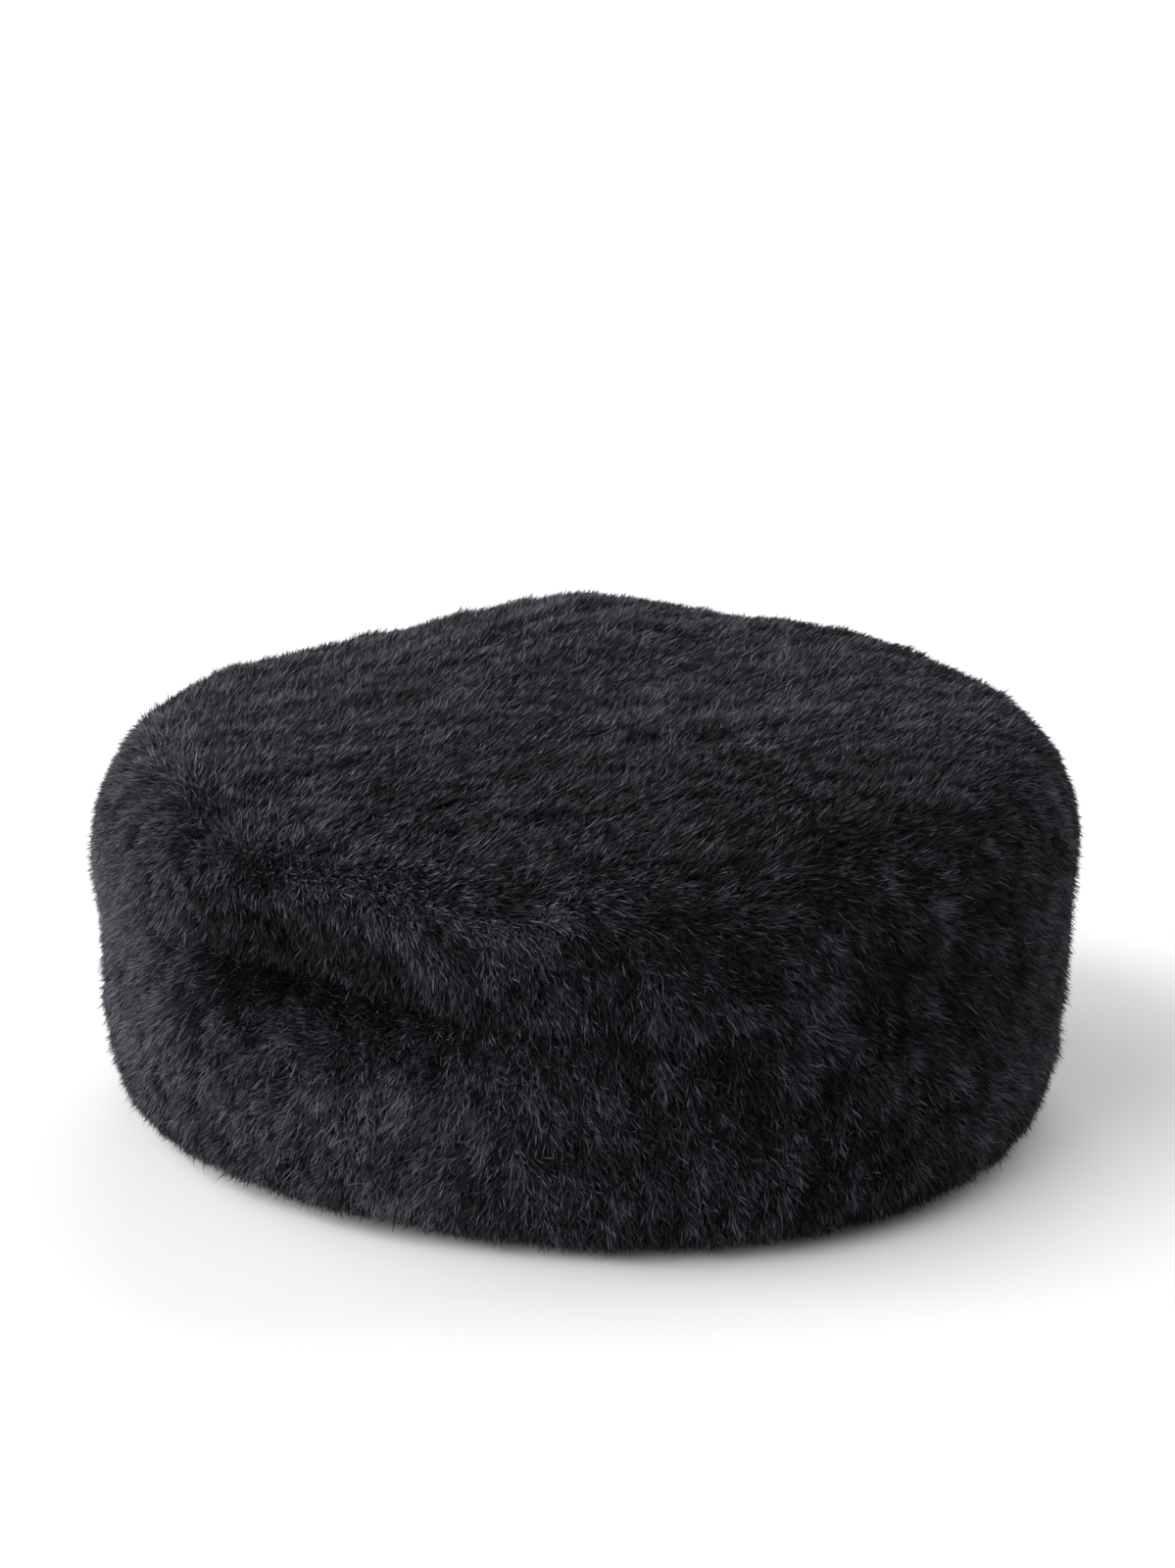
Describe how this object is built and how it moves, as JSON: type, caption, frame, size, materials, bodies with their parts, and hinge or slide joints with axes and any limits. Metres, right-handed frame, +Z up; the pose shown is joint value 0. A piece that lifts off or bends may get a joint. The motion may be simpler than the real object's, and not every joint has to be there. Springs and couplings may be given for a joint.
{
  "type": "shearling pillbox hat",
  "caption": "Brimless oval pillbox hat of black shearling: a thick-piled side band under a soft round top panel that rolls over it.",
  "frame": {"origin": "centre of the head oval in the plane of the hem, which rests on the surface", "axes": "+Z up through the top, the wearer faces -Y, +X is the wearer's left"},
  "size_m": [0.2371, 0.2536, 0.102],
  "materials": {
    "crown_pile": "dense combed wool pile, near black with a cool grey sheen on the tips",
    "band_pile": "dense combed wool pile, near black with a cool grey sheen on the tips",
    "skin_side": "matt dyed suede with a short nap"
  },
  "bodies": {
    "root": {"crown_tip": "crown_pile", "side_band": "band_pile"}
  },
  "joints": []
}
